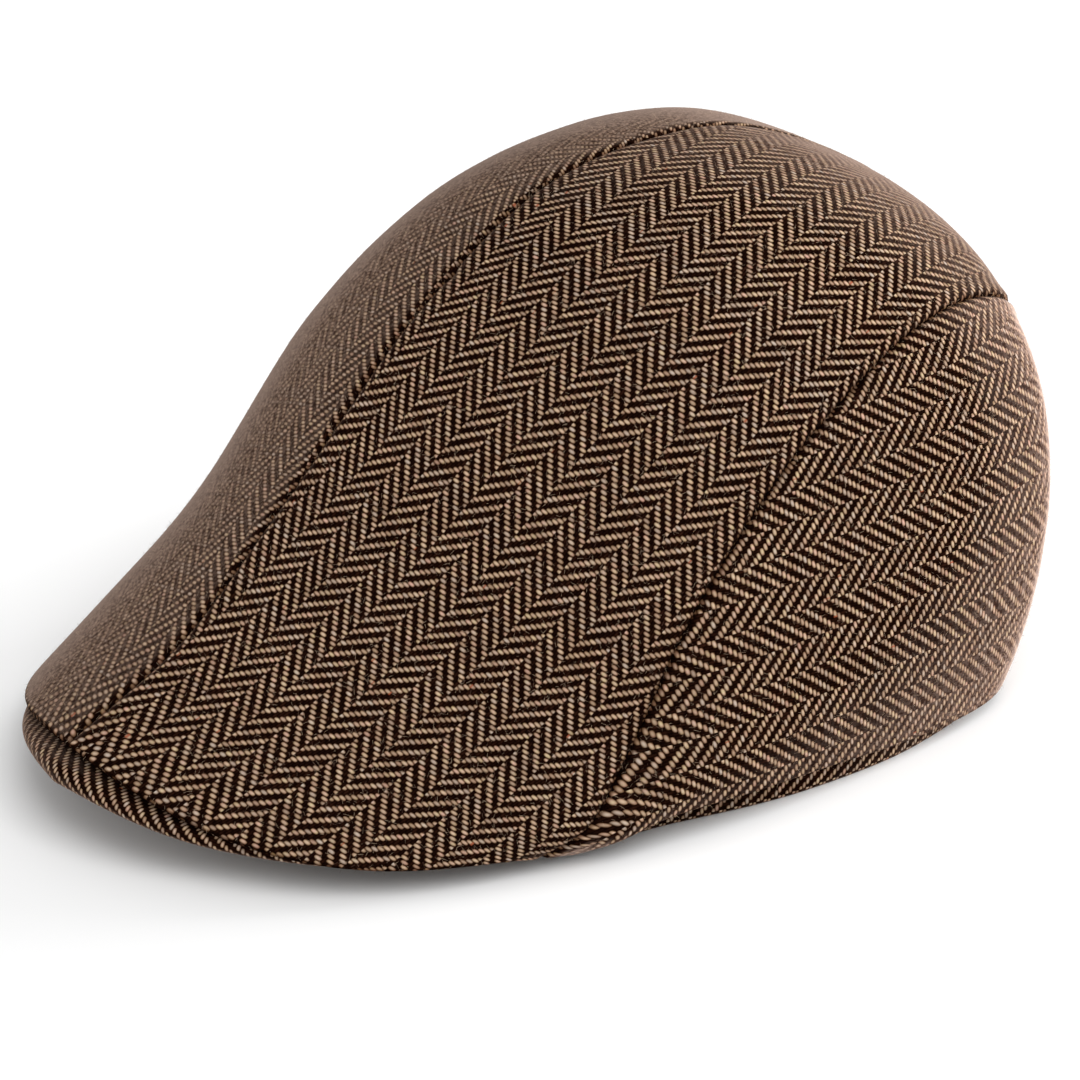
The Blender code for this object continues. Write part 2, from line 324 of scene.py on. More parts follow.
def distance_to(points, line):
    """Distance of each point to a line of short straight pieces."""
    flat = points.reshape(-1, 3)
    best = np.full(len(flat), 1.0)
    for a, b in zip(line[:-1], line[1:]):
        ab = b - a
        t = np.clip((flat - a) @ ab / (ab @ ab + 1e-15), 0.0, 1.0)
        gap = flat - a - t[:, None] * ab
        np.minimum(best, (gap * gap).sum(1), out=best)
    return np.sqrt(best).reshape(points.shape[:-1])


LINE = np.linspace(0.0, 1.0, 150)
CENTRE_SEAM = grid_point(LINE * BACK_END, 0.0)
BACK_SEAM = grid_point(BACK_END + LINE * (1.0 - BACK_END), 0.0)
SIDE_SEAM = grid_point(LINE * BACK_END, 1.0)
CROSS_SEAM = grid_point(BACK_END, LINE)
FRONT_EDGE = grid_point(0.0, LINE * 2.0)
RIM = grid_point(LINE, 2.0)
NAPE_EDGE = grid_point(1.0, LINE * 2.0)

SEAMS = (CENTRE_SEAM, BACK_SEAM, SIDE_SEAM, CROSS_SEAM)
SEAM_DEPTHS = (0.75 * MM, 0.80 * MM, 0.85 * MM, 0.85 * MM)
PINCH = shell_point(0.362, 0.0)      # a small pucker in the centre seam, over the brow
PINCH_DEPTH = 1.1 * MM
EDGE_ROUND = 0.8 * MM
FIBRE_WIDTH = 0.045 * MM
FIBRES_PER_MM2 = 0.35


def bell(distance, width):
    """1 at no distance, falling to nothing at about twice the width."""
    return np.exp(-(distance / width) ** 2)


def surface_normals(points):
    along = np.gradient(points, axis=0)
    across = np.gradient(points, axis=1)
    n = np.cross(along, across)
    n /= np.linalg.norm(n, axis=-1, keepdims=True) + 1e-12
    if (n * (points - INSIDE_CROWN)).sum() < 0:
        n = -n
    return n


def unevenness(point):
    """The cloth's own rise and fall, in mm."""
    broad = noise.noise(Vector(point) * 22.0)
    small = noise.noise(Vector(point) * 60.0 + Vector((7.0, 3.0, 1.0)))
    return broad * 0.45 + small * 0.16


def relief(points, seam_gaps, pinch_gap):
    """Height over the smooth form: seams and pinch pulled in, swell beside the seams, and unevenness."""
    height = np.zeros(points.shape[:-1])
    for gap, depth in zip(seam_gaps, SEAM_DEPTHS):
        height -= depth * bell(gap, 0.75 * MM)
        height += 0.22 * MM * bell(gap - 2.6 * MM, 1.7 * MM)
    height -= PINCH_DEPTH * bell(pinch_gap, 2.0 * MM)
    rough = np.array([unevenness(p) for p in points.reshape(-1, 3)])
    return height + rough.reshape(height.shape) * MM


def rounded_edge(distance):
    """How far the face falls at a folded edge, as a quarter round."""
    t = np.clip(1.0 - distance / EDGE_ROUND, 0.0, 1.0)
    return -EDGE_ROUND * (1.0 - np.sqrt(np.clip(1.0 - t ** 2, 0.0, 1.0)))


def quads(keep):
    """Quads of a grid of points, numbered row by row, where all four corners are kept."""
    i, j = np.nonzero(keep[:-1, :-1] & keep[:-1, 1:] & keep[1:, :-1] & keep[1:, 1:])
    wide = keep.shape[1]
    a = i * wide + j
    return np.stack([a, a + 1, a + wide + 1, a + wide], 1)


def border(faces):
    """Directed outer edges of a set of quads."""
    edges = np.concatenate([faces[:, [k, (k + 1) % 4]] for k in range(4)])
    edges = [tuple(edge) for edge in edges.tolist()]
    known = set(edges)
    return [(a, b) for a, b in edges if (b, a) not in known]


def face_normals(points, faces):
    """Each quad's normal, as long as its area."""
    start = points[faces[:, 0]]
    return np.cross(points[faces[:, 1]] - start, points[faces[:, 3]] - start)


def set_map(mesh, name, values):
    """A UV map from the two values of each point."""
    layer = mesh.uv_layers.new(name=name)
    corners = np.empty(len(mesh.loops), np.int32)
    mesh.loops.foreach_get("vertex_index", corners)
    layer.data.foreach_set("uv", values[corners].astype(np.float32).ravel())


def add_tuck(piece, tuck):
    """A second map: how deep in a seam or groove each point lies, 0 to 1, by which the wool paints shade
    there and holds back its painted sheen.
    """
    set_map(piece.data, "tuck", np.stack([tuck, tuck], 1))


def fibres(points, faces, uv, seed):
    """Fine hairs rooted on the faces: points, quads, triangles and each point's place in the weave."""
    draw = np.random.default_rng(seed)
    corner = points[faces]
    across = np.cross(corner[:, 2] - corner[:, 0], corner[:, 3] - corner[:, 1])
    area = np.linalg.norm(across, axis=1) / 2.0
    count = int(area.sum() / MM ** 2 * FIBRES_PER_MM2)
    face = draw.choice(len(faces), count, p=area / area.sum())
    a, b = draw.random((2, count, 1))
    share = np.stack([(1 - a) * (1 - b), a * (1 - b), a * b, (1 - a) * b])
    root = sum(share[k] * corner[face, k] for k in range(4))
    place = sum(share[k] * uv[faces[face, k]] for k in range(4))
    normal = across[face] / np.linalg.norm(across[face], axis=1, keepdims=True)
    loose = draw.normal(size=(count, 3))
    lying = loose - normal * (loose * normal).sum(1, keepdims=True)
    lying /= np.linalg.norm(lying, axis=1, keepdims=True)
    thick = np.cross(normal, lying) * FIBRE_WIDTH / 2.0
    length = draw.uniform(0.5, 1.9, (count, 1)) * MM
    rise = draw.uniform(0.15, 0.75, (count, 1))
    elbow = root + (lying + normal * rise) * length * 0.55
    tip = elbow + (lying + normal * (rise - draw.uniform(0.0, 0.6, (count, 1)))) * length * 0.45
    where = np.stack([root - thick, root + thick, elbow + thick * 0.8, elbow - thick * 0.8, tip], 1)
    first = np.arange(count)[:, None] * 5
    return where.reshape(-1, 3), first + [0, 1, 2, 3], first + [3, 2, 4], np.repeat(place, 5, axis=0)


def add_mesh(name, points, faces, uv, materials, index, replaced):
    mesh = bpy.data.meshes.new(name)
    mesh.from_pydata(points.tolist(), [], faces)
    for material in materials:
        mesh.materials.append(material)
    mesh.polygons.foreach_set("use_smooth", np.ones(len(faces), bool))
    mesh.polygons.foreach_set("material_index", np.asarray(index, np.int32))
    set_map(mesh, "weave", uv)
    mesh.validate()
    mesh.update()
    piece = bpy.data.objects.new(name, mesh)
    bpy.context.scene.collection.objects.link(piece)
    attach(piece, "root")
    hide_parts(replaced)
    return piece


def add_loop_mesh(name, points, faces, loop_uv, materials, index, replaced):
    """A mesh whose weave map has a value for each corner of each face, so it may jump between faces."""
    uv = np.zeros((len(points), 2))
    piece = add_mesh(name, points, faces.tolist(), uv, materials, index, replaced)
    piece.data.uv_layers["weave"].data.foreach_set("uv", loop_uv.astype(np.float32).ravel())
    return piece


def add_shell(name, outer, inner, uv, tuck, keep, materials, replaced, side):
    """Cloth between two faces: wool outside, lining inside, a folded border painted dark as shade, and loose
    fibres.
    """
    count = keep.size
    points = np.concatenate([outer.reshape(-1, 3), inner.reshape(-1, 3)])
    flat = np.concatenate([uv.reshape(-1, 2), uv.reshape(-1, 2)])
    tuck = np.concatenate([tuck.ravel(), tuck.ravel()])
    faces = quads(keep)
    if (face_normals(points, faces) * (points[faces].mean(1) - INSIDE_CROWN)).sum() < 0:
        faces = faces[:, ::-1]
    folded = np.array([(a, a + count, b + count, b) for a, b in border(faces)])
    cloth = np.concatenate([faces, faces[:, ::-1] + count, folded])
    index = np.repeat([0, 1, 2], [len(faces), len(faces), len(folded)])
    used = np.unique(cloth)
    renumber = -np.ones(len(points), int)
    renumber[used] = np.arange(len(used))
    cloth = renumber[cloth]
    points, flat, tuck = points[used] * np.array([side, 1.0, 1.0]), flat[used], tuck[used]
    if side < 0:
        cloth = cloth[:, ::-1]
    hair, hair_quads, hair_tips, hair_uv = fibres(points, cloth[index == 0], flat, len(name))
    polygons = cloth.tolist() + (hair_quads + len(points)).tolist() + (hair_tips + len(points)).tolist()
    index = np.concatenate([index, np.full(len(hair_quads) * 2, 3)])
    points, flat = np.concatenate([points, hair]), np.concatenate([flat, hair_uv])
    piece = add_mesh(name, points, polygons, flat, materials, index, replaced)
    add_tuck(piece, np.concatenate([tuck, np.zeros(len(hair))]))


# The weave's width of an end and of a pick.
END = 0.89 * MM
PICK = 1.03 * MM
# How many ends and picks the cloth is drawn along, at four evenly spaced places from front to back.
# The three pairs are for the panel's upper edge, half-way down and its lower edge.
TOP_DRAW = (
    ("front", (25, 6), (20, 0), (13, -3)),
    ("brow", (8, -2), (6, 1), (7, 1)),
    ("crown", (-16, 11), (-10, 2), (-5, -1)),
    ("back", (-36, -5), (-27, -14), (-19, -16)),
)
SIDE_DRAW = (
    ("front", (1, 10), (0, 9), (0, 9)),
    ("temple", (0, 6), (-2, 3), (-5, 2)),
    ("ear", (0, -5), (0, 2), (-9, -3)),
    ("nape", (-1, -9), (-4, -6), (-7, -5)),
)


def through(values, share):
    """The curve through evenly spaced values, at a share of 0 to 1."""
    last = len(values) - 1
    total = 0.0
    for k, value in enumerate(values):
        weight = 1.0
        for other in range(last + 1):
            if other != k:
                weight = weight * (share * last - other) / (k - other)
        total = total + value * weight
    return total


def weave_of(flat, turn, bend, draw, back, down, ends_from, picks_from):
    """Each point's place in the weave, in ends and picks; back and down are its shares of the panel."""
    a = math.radians(turn)
    along = flat[..., 0] * math.cos(a) + flat[..., 1] * math.sin(a)
    across = flat[..., 0] * math.sin(a) - flat[..., 1] * math.cos(a)
    across = across + bend * along ** 2 / 2.0
    more_ends, more_picks = (
        through([through([place[k] for place in row[1:]], down) for row in draw], back)
        for k in range(2)
    )
    return np.stack([across / END + more_ends + ends_from, along / PICK + more_picks + picks_from], -1)


# Node trees
class Num:
    """A number in a node tree; arithmetic on it adds Math nodes."""

    def __init__(self, tree, socket):
        self.tree, self.socket = tree, socket

    def op(self, kind, *others):
        node = self.tree.nodes.new("ShaderNodeMath")
        node.operation = kind
        for k, value in enumerate((self,) + others):
            if isinstance(value, Num):
                self.tree.links.new(value.socket, node.inputs[k])
            else:
                node.inputs[k].default_value = value
        return Num(self.tree, node.outputs[0])

    def __add__(self, other):
        return self.op("ADD", other)

    def __sub__(self, other):
        return self.op("SUBTRACT", other)

    def __mul__(self, other):
        return self.op("MULTIPLY", other)

    def __lt__(self, other):
        return self.op("LESS_THAN", other)

    def __gt__(self, other):
        return self.op("GREATER_THAN", other)

    def floor(self):
        return self.op("FLOOR")

    def mod(self, n):
        return self.op("FLOORED_MODULO", n)

    def size_to_power(self, power):
        return self.op("ABSOLUTE").op("POWER", power)

    def pick(self, if_one, if_zero):
        """if_one where this is 1 and if_zero where it is 0."""
        return (if_one - if_zero) * self + if_zero


def ramp(tree, value, low, high):
    """0 at low and 1 at high."""
    node = tree.nodes.new("ShaderNodeMapRange")
    node.inputs["From Min"].default_value = low
    node.inputs["From Max"].default_value = high
    tree.links.new(value.socket, node.inputs["Value"])
    return Num(tree, node.outputs["Result"])


def noise_at(tree, x, y, z, scale, detail):
    join = tree.nodes.new("ShaderNodeCombineXYZ")
    for k, value in enumerate((x, y, z)):
        if isinstance(value, Num):
            tree.links.new(value.socket, join.inputs[k])
        else:
            join.inputs[k].default_value = value
    node = tree.nodes.new("ShaderNodeTexNoise")
    node.inputs["Scale"].default_value = scale
    node.inputs["Detail"].default_value = detail
    tree.links.new(join.outputs[0], node.inputs["Vector"])
    return Num(tree, node.outputs["Fac"])


def blend_colour(tree, share, first, second, kind="MIX"):
    node = tree.nodes.new("ShaderNodeMix")
    node.data_type = "RGBA"
    node.blend_type = kind
    if isinstance(share, Num):
        tree.links.new(share.socket, node.inputs[0])
    else:
        node.inputs[0].default_value = share
    for socket, value in ((node.inputs[6], first), (node.inputs[7], second)):
        if isinstance(value, tuple):
            socket.default_value = (*value, 1.0)
        else:
            tree.links.new(value, socket)
    return node.outputs[2]


def map_numbers(tree, name):
    """The two numbers of a UV map."""
    uv = tree.nodes.new("ShaderNodeUVMap")
    uv.uv_map = name
    split = tree.nodes.new("ShaderNodeSeparateXYZ")
    tree.links.new(uv.outputs[0], split.inputs[0])
    return Num(tree, split.outputs[0]), Num(tree, split.outputs[1])


def new_cloth(name):
    """A material, its node tree and shader, and the place in the weave as two numbers."""
    material = bpy.data.materials.new(name)
    material.use_nodes = True
    tree = material.node_tree
    x, y = map_numbers(tree, "weave")
    return material, tree, tree.nodes["Principled BSDF"], x, y


def make_dull(shader):
    shader.inputs["Roughness"].default_value = 1.0
    shader.inputs["Specular IOR Level"].default_value = 0.0


def add_bump(tree, shader, height, strength, distance):
    bump = tree.nodes.new("ShaderNodeBump")
    bump.inputs["Strength"].default_value = strength
    bump.inputs["Distance"].default_value = distance
    tree.links.new(height.socket, bump.inputs["Height"])
    tree.links.new(bump.outputs[0], shader.inputs["Normal"])


# Colours of the yarns, then of the fibres and their painted sheen: dark, pale and a painted highlight at the
# rim
DARK = (0.0065, 0.0019, 0.0012)
DARK_WARM = (0.0260, 0.0088, 0.0050)
LIGHT = (0.560, 0.415, 0.290)
LIGHT_PINK = (0.560, 0.350, 0.275)
LIGHT_STRAW = (0.540, 0.450, 0.250)
LIGHT_GREY = (0.470, 0.395, 0.335)
LIGHT_DULL = (0.230, 0.140, 0.090)
FUZZ = (0.230, 0.105, 0.060)
FLECK = (0.30, 0.070, 0.030)
SATIN_DARK = (0.022, 0.013, 0.010)
SATIN_PALE = (0.060, 0.038, 0.028)
NAP_DARK = (0.130, 0.074, 0.056)
# Lit and shaded copies of one sheen: the side panels' is painted brighter, as light, and the far top panel's
# darker, as shade
SIDE_LIT_SHEEN = ((0.150, 0.086, 0.066), (0.540, 0.370, 0.300), (0.700, 0.550, 0.480))
TOP_SHEEN = ((0.090, 0.052, 0.040), (0.270, 0.185, 0.145), (0.290, 0.210, 0.175))
FAR_SHADED_SHEEN = ((0.066, 0.040, 0.030), (0.235, 0.158, 0.120), (0.300, 0.222, 0.185))


def weave_cell(x, y, column):
    """A 2/2 herringbone at each point: end, pick, first end of the float, weft or warp, and height."""
    i, j = x.floor(), y.floor()
    fx, fy = x - i, y - j
    m = i.mod(2.0 * column)
    flip = m > column - 0.5
    step = flip.pick(m * -1.0 + (2.0 * column + 1.0), m)
    p = (step + j).mod(4.0)
    weft = p < 1.5
    # A float covers two ends or picks: place is 0 or 1, and along runs from -1 to 1.
    place = flip.pick(p * -1.0 + 1.0, p)
    along_weft = (place + fx) - 1.0
    across_weft = fy * 2.0 - 1.0 - along_weft * 0.14
    along_warp = (p - 2.0 + fy) - 1.0
    across_warp = fx * 2.0 - 1.0
    weft_height = across_weft * across_weft * -1.0 + 1.0 - along_weft.size_to_power(2.2) * 0.75
    warp_height = (across_warp * across_warp * -1.0 + 1.0) * (along_warp.size_to_power(3.0) * -0.6 + 1.0)
    return i, j, i - place, weft, weft.pick(weft_height, warp_height * 0.85)


def yarn_colour(tree, x, y, end, pick, float_start, weft):
    """A pale weft that varies along and between its picks, over a dark warp."""
    along = noise_at(tree, x * 0.30, pick * 3.7, 2.0, 1.0, 2.0)
    mottle = noise_at(tree, x * 0.9, pick * 5.1, 5.0, 1.0, 2.0)
    per_pick = noise_at(tree, pick * 7.31, 0.5, 1.0, 1.0, 0.0)
    per_float = noise_at(tree, float_start * 3.17, pick * 5.71, 7.0, 1.0, 0.0)
    light = blend_colour(tree, ramp(tree, along, 0.45, 0.70), LIGHT, LIGHT_PINK)
    light = blend_colour(tree, ramp(tree, mottle, 0.50, 0.78), light, LIGHT_STRAW)
    light = blend_colour(tree, ramp(tree, per_pick, 0.50, 0.80), light, LIGHT_GREY)
    light = blend_colour(tree, ramp(tree, per_float, 0.70, 0.28) * 0.70, light, LIGHT_DULL)
    warm = noise_at(tree, end * 5.3, y * 0.35, 4.0, 1.0, 2.0)
    dark = blend_colour(tree, ramp(tree, warm, 0.45, 0.75), DARK, DARK_WARM)
    return blend_colour(tree, weft, dark, light)


def shade_between(tree, colour, height, tucked):
    """Painted shade: the colour darker and redder low between yarns, and dark in seams."""
    shade = (ramp(tree, height, -0.05, 0.95) * 0.94 + 0.06) * (tucked.op("POWER", 3.0) * -0.75 + 1.0)
    shade_tint = tree.nodes.new("ShaderNodeCombineColor")
    for k, power in enumerate((1.0, 1.22, 1.40)):
        tree.links.new(shade.op("POWER", power).socket, shade_tint.inputs[k])
    return blend_colour(tree, 1.0, colour, shade_tint.outputs[0], "MULTIPLY")


def add_painted_sheen(tree, shader, x, y, tucked, sheen_from, sheen_full, sheen_most, colours):
    """Painted sheen: seen from low down, a diffuse fibre colour is mixed over the wool and hides the
    pattern, but not in seams.
    """
    dark, pale, rim = colours
    layer = tree.nodes.new("ShaderNodeLayerWeight")
    layer.inputs["Blend"].default_value = 0.5
    facing = Num(tree, layer.outputs["Facing"])
    open_air = tucked * -1.0 + 1.0
    share = ramp(tree, facing, sheen_from, sheen_full).op("POWER", 1.4) * sheen_most * open_air
    tuft = noise_at(tree, x, y, 12.0, 1.3, 3.0)
    cloud = noise_at(tree, x * 0.25, y * 0.5, 15.0, 1.0, 2.0)
    colour = blend_colour(tree, ramp(tree, tuft * 0.7 + cloud * 0.3, 0.42, 0.58), dark, pale)
    # Painted highlight: at the most grazing views the colour turns to the rim colour.
    colour = blend_colour(tree, ramp(tree, facing, 0.70, 1.0), colour, rim)
    nap = tree.nodes.new("ShaderNodeBsdfDiffuse")
    tree.links.new(colour, nap.inputs["Color"])
    mix = tree.nodes.new("ShaderNodeMixShader")
    tree.links.new(share.socket, mix.inputs[0])
    tree.links.new(shader.outputs[0], mix.inputs[1])
    tree.links.new(nap.outputs[0], mix.inputs[2])
    tree.links.new(mix.outputs[0], tree.nodes["Material Output"].inputs["Surface"])


def wool(name, column=8.0, sheen_from=0.31, sheen_full=0.95, sheen_most=0.80, nap=TOP_SHEEN):
    """2/2 herringbone: a light weft over a dark warp, with a turn after each column of ends."""
    material, tree, shader, x0, y0 = new_cloth(name)
    tucked, _ = map_numbers(tree, "tuck")
    x = x0 + (noise_at(tree, x0, y0, 3.0, 0.16, 2.0) - 0.5) * 0.3
    y = y0 + (noise_at(tree, x0, y0, 9.0, 0.22, 2.0) - 0.5) * 0.3
    end, pick, float_start, weft, height = weave_cell(x, y, column)
    colour = yarn_colour(tree, x, y, end, pick, float_start, weft)
    colour = shade_between(tree, colour, height, tucked)
    hair = noise_at(tree, x0 * 1.4, y0 * 1.4, 8.0, 3.0, 4.0)
    colour = blend_colour(tree, ramp(tree, hair, 0.42, 0.80) * 0.04, colour, FUZZ)
    fleck = noise_at(tree, x * 0.5, pick * 9.7, 6.0, 1.0, 1.0)
    colour = blend_colour(tree, (fleck > 0.765) * weft * 0.8, colour, FLECK)
    tree.links.new(colour, shader.inputs["Base Color"])
    make_dull(shader)
    add_bump(tree, shader, height + hair * 0.25, 0.7, 0.30 * MM)
    add_painted_sheen(tree, shader, x0, y0, tucked, sheen_from, sheen_full, sheen_most, nap)
    return material


def lining_cloth(name):
    """Dark satin with a fine slanting rib."""
    material, tree, shader, x, y = new_cloth(name)
    rib = ((x * 2.2 + y * 3.6) * 6.2832).op("SINE") * 0.5 + 0.5
    cloud = noise_at(tree, x * 0.2, y * 0.2, 1.0, 1.0, 4.0)
    colour = blend_colour(tree, rib * 0.5 + cloud * 0.4, SATIN_DARK, SATIN_PALE)
    tree.links.new(colour, shader.inputs["Base Color"])
    tree.links.new((cloud * 0.2 + 0.32).socket, shader.inputs["Roughness"])
    add_bump(tree, shader, rib, 0.35, 0.10 * MM)
    return material


def shaded_turned_edge(name):
    """Where cloth is folded out of sight at a seam or an edge: near black as painted shade, with stray
    fibres.
    """
    material, tree, shader, x, y = new_cloth(name)
    stray = noise_at(tree, x, y, 3.0, 1.7, 2.0)
    colour = blend_colour(tree, ramp(tree, stray, 0.50, 0.80), DARK, DARK_WARM)
    tree.links.new(colour, shader.inputs["Base Color"])
    make_dull(shader)
    return material


def loose_fibre(name):
    """Single hairs standing off the cloth, from pale to brown."""
    material, tree, shader, x, y = new_cloth(name)
    kind = noise_at(tree, x * 2.3, y * 2.3, 5.0, 1.0, 0.0)
    colour = blend_colour(tree, ramp(tree, kind, 0.35, 0.65), NAP_DARK, LIGHT)
    tree.links.new(colour, shader.inputs["Base Color"])
    make_dull(shader)
    return material


# Lit and shaded copies of one wool: the side panels' painted sheen is brighter, as light, and the far top
# panel's stronger and darker, as shade.
WOOL = wool("herringbone_wool")
SIDE_LIT_WOOL = wool("herringbone_wool_side_lit", sheen_from=0.28, nap=SIDE_LIT_SHEEN)
FAR_SHADED_WOOL = wool("herringbone_wool_far_shaded", sheen_from=0.25, sheen_full=0.80, sheen_most=0.92, nap=FAR_SHADED_SHEEN)
LIP_WOOL = wool("herringbone_wool_lip", column=32.0)
SHADED_EDGE = shaded_turned_edge("shaded_turned_edge")
FIBRE = loose_fibre("loose_fibre")
LINING = lining_cloth("satin_lining")

# Crown panels: the warp's angle in the flat pattern in degrees, and how it bends per metre
TOP_TURN, TOP_BEND = 92.5, 1.1
SIDE_TURN, SIDE_BEND = 106.5, 0.0


def finish_panel(points, edges, uv, kind, word, cloth, keep, side):
    """A panel's cloth from its smooth face: seams, rounded edges and thickness, at its side of the cap."""
    n = surface_normals(points)
    seam_gaps = [distance_to(points, line) for line in SEAMS]
    pinch_gap = np.linalg.norm(points - PINCH, axis=-1)
    edge = distance_to(points, edges)
    lift = relief(points, seam_gaps, pinch_gap)
    fall = rounded_edge(edge)
    outer = points + n * (lift + fall)[..., None]
    thick = CLOTH + np.maximum(fall, -0.6 * MM) * 0.8 - lift * 0.6
    inner = points - n * thick[..., None]
    # Painted shade: the tuck map darkens the wool along the folded edges, in the seams and at the pinch.
    tuck = bell(edge, 1.0 * MM)
    for gap in seam_gaps:
        tuck = np.maximum(tuck, bell(gap, 1.6 * MM))
    tuck = np.maximum(tuck, bell(pinch_gap, 1.8 * MM))
    materials = (cloth, LINING, SHADED_EDGE, FIBRE)
    name, replaced = kind + "_cloth_" + word, kind + "_panel_" + word
    add_shell(name, outer, inner, uv, tuck, keep, materials, replaced, side)


def top_panel(side, word, cloth, ends_from, picks_from):
    rows = row_list(0.0, BACK_END, 0.33)
    columns = np.stack([spread(r, 0.0, 1.0, 0.085) for r in rows])
    grid = np.repeat(rows[:, None], columns.shape[1], 1)
    flat = TOP_PATTERN.at(grid, columns)
    uv = weave_of(flat, TOP_TURN, TOP_BEND, TOP_DRAW, grid / BACK_END, columns, ends_from, picks_from)
    keep = np.ones(grid.shape, bool)
    finish_panel(grid_point(grid, columns), FRONT_EDGE, uv, "top", word, cloth, keep, side)


def side_panel(side, word, ends_from, picks_from):
    ahead = row_list(0.0, BACK_END, 0.30)
    behind = row_list(BACK_END, 1.0, 0.085)
    rows = np.concatenate([ahead, behind[1:]])
    upper = np.stack([spread(r, 0.0, 1.0, 0.055) for r in rows])
    lower = np.stack([spread(r, 1.0, 2.0, 0.100) for r in rows])
    columns = np.concatenate([upper, lower[:, 1:]], 1)
    grid = np.repeat(rows[:, None], columns.shape[1], 1)
    # Ahead of the cross seam, what lies above the side seam belongs to the top panel.
    keep = np.ones(grid.shape, bool)
    keep[:len(ahead) - 1, :upper.shape[1] - 1] = False
    flat = SIDE_PATTERN.at(grid, np.where(keep, columns, 1.0))
    # The share of the way down from the side seam's level, which stays near 0 above it.
    below = columns - 1.0
    down = (below + np.sqrt(below ** 2 + 0.02)) / 2.0
    uv = weave_of(flat, SIDE_TURN, SIDE_BEND, SIDE_DRAW, grid, down, ends_from, picks_from)
    edges = np.concatenate([FRONT_EDGE[len(LINE) // 2:], RIM, NAPE_EDGE[::-1]])
    finish_panel(grid_point(grid, columns), edges, uv, "side", word, SIDE_LIT_WOOL, keep, side)


top_panel(1.0, "left", WOOL, 0.0, 0.0)
top_panel(-1.0, "right", FAR_SHADED_WOOL, 5.0, 2.75)
side_panel(1.0, "left", 0.0, 0.0)
side_panel(-1.0, "right", 3.0, 2.0)


# Headband and peak
BAND_STEPS = 420
BAND_ROUND = 1.2 * MM
PEAK_SECTIONS, PEAK_STEPS, NOSE_STEPS = 220, 26, 18
NOSE_MIDDLE = PEAK_STEPS + NOSE_STEPS // 2
LIP_FROM = 16.0                      # ends at the lip's foremost line: the middle of its wide column
GROOVE_WIDTH = 2.6 * MM


def unit(v):
    return v / np.linalg.norm(v)


def band_value(column, turn):
    """A column of the headband's outline; turn counts its rows, down one side and back up the other."""
    half = len(BAND_OUTLINE) - 1

    def at(k):
        k = k % (2 * half)
        if k > half:
            value = BAND_OUTLINE[2 * half - k][column]
            return -value if column == 0 else value
        return BAND_OUTLINE[k][column]

    low = math.floor(turn)
    return smooth(at(low - 1), at(low), at(low + 1), at(low + 2), turn - low)


def band_point(turn, outset):
    """A point of the headband's lower outer edge, moved outwards."""
    def plan(place):
        x = band_value(0, place) * WIDTH / 2.0
        y = (band_value(1, place) - MIDDLE) * LENGTH
        return np.array([x, y, 0.0])

    along = unit(plan(turn + 0.01) - plan(turn - 0.01))
    out = np.array([along[1], -along[0], 0.0])
    lift = np.array([0.0, 0.0, max(band_value(2, turn), 0.0) * HEIGHT])
    return plan(turn) + out * outset + lift


def ring_faces(sections, per, closed):
    """Quads between neighbouring sections of per points each."""
    faces = []
    for a in range(sections if closed else sections - 1):
        here, there = a * per, (a + 1) % sections * per
        for b in range(per):
            c = (b + 1) % per
            faces.append((here + b, here + c, there + c, there + b))
    return faces


def rounded_rectangle(low, high, radius, steps):
    """Closed outline of a soft-cornered strip: points as (outset, height)."""
    corners = (
        (low[0] + radius, low[1] + radius, 180),
        (high[0] - radius, low[1] + radius, 270),
        (high[0] - radius, high[1] - radius, 0),
        (low[0] + radius, high[1] - radius, 90),
    )
    outline = []
    for x, y, start in corners:
        for k in range(steps + 1):
            a = math.radians(start + 90.0 * k / steps)
            outline.append((x + radius * math.cos(a), y + radius * math.sin(a)))
    dense = []
    for k, p in enumerate(outline):
        q = outline[(k + 1) % len(outline)]
        n = max(int(math.dist(p, q) / STEP), 1)
        dense += [(p[0] + (q[0] - p[0]) * t / n, p[1] + (q[1] - p[1]) * t / n) for t in range(n)]
    return dense


def headband():
    """The folded band, closed round the head opening, with a slight wave on its outer face."""
    profile = rounded_rectangle((-BAND_THICK, 0.0), (0.0, BAND_TALL), BAND_ROUND, 5)
    per = len(profile)
    climb = [0.0]
    for k in range(per):
        climb.append(climb[-1] + math.dist(profile[k], profile[(k + 1) % per]))
    turns = [2.0 * (len(BAND_OUTLINE) - 1) * s / BAND_STEPS for s in range(BAND_STEPS + 1)]
    line = np.array([band_point(turn, 0.0) for turn in turns])
    run = np.concatenate([[0.0], np.cumsum(np.linalg.norm(np.diff(line, axis=0), axis=1))])
    points = []
    for turn in turns[:-1]:
        for outset, height in profile:
            wave = 0.0
            if outset > -BAND_THICK / 2 and height >= 2.0 * MM:
                wave = noise.noise(Vector((turn * 2.3, height * 120.0, 4.0))) * 0.25 * MM
            points.append(band_point(turn, outset + wave) + np.array([0.0, 0.0, height]))
    points, faces = np.array(points), np.array(ring_faces(BAND_STEPS, per, True))
    loop_uv, index = [], []
    for s in range(BAND_STEPS):
        for k in range(per):
            corners = ((k, s), (k + 1, s), (k + 1, s + 1), (k, s + 1))
            loop_uv.append([(climb[a] / END + 3.0, run[b] / PICK) for a, b in corners])
            outset = (profile[k][0] + profile[(k + 1) % per][0]) / 2.0
            index.append(1 if outset < -BAND_THICK + 0.2 * MM else 0)
    loop_uv = np.array(loop_uv)
    outer = np.array([outset > -BAND_THICK / 2 for outset, _ in profile] * BAND_STEPS)
    outward = (points[faces].mean(1) - INSIDE_BAND) * np.array([1.0, 1.0, 0.0])
    if (face_normals(points, faces) * outward)[outer].sum() < 0:
        faces, loop_uv = faces[:, ::-1], loop_uv[:, ::-1]
    add_loop_mesh("headband_cloth", points, faces, loop_uv, (WOOL, LINING), index, "headband")


def lip_value(column, share):
    return float(from_table([row[column] for row in LIP], abs(share))) * MM


